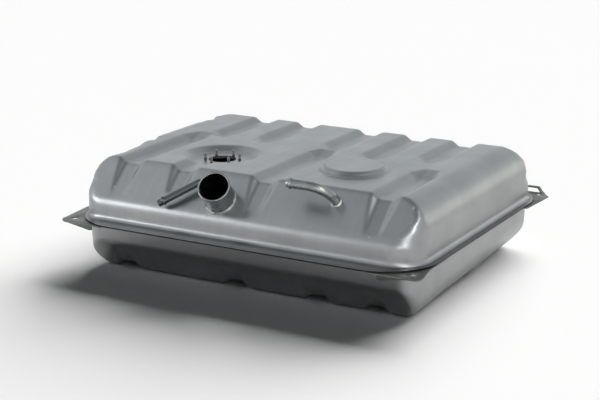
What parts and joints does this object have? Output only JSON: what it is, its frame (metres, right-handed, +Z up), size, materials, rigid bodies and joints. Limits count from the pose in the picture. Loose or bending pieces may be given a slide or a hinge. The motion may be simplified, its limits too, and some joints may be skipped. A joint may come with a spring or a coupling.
{
  "type": "fuel tank",
  "caption": "Pressed-steel vehicle fuel tank with ribbed halves, a seam flange, corner mounting brackets, an angled filler neck, vent tubes and a studded sender opening.",
  "frame": {"origin": "centre of the rectangle of the mounting holes, on the seam plane where the pressings meet", "axes": "+Z up, +X along the long sides of the tank, -Y towards the side with the filler neck"},
  "size_m": [0.6869, 0.582, 0.2094],
  "materials": {
    "pressed_steel": "bare zinc-coated sheet, satin",
    "bracket_steel": "bare sheet, dull",
    "plated_tube": "zinc-plated tube, bright",
    "braze": "tinned braze ring, bright",
    "fastener_steel": "zinc-plated",
    "inner_steel": "bare sheet"
  },
  "bodies": {
    "root": {"upper_shell": "pressed_steel", "lower_shell": "pressed_steel", "bracket_front_left": "bracket_steel", "bracket_front_right": "bracket_steel", "bracket_rear_left": "bracket_steel", "bracket_rear_right": "bracket_steel", "filler_neck": "plated_tube", "neck_collar": "braze", "vent_tube": "plated_tube", "vent_collar": "braze", "breather_tube": "plated_tube", "breather_collar": "braze", "sender_ring": "inner_steel", "sender_studs": "fastener_steel", "baffle_left": "inner_steel", "baffle_right": "inner_steel", "swirl_pot": "inner_steel"}
  },
  "joints": []
}
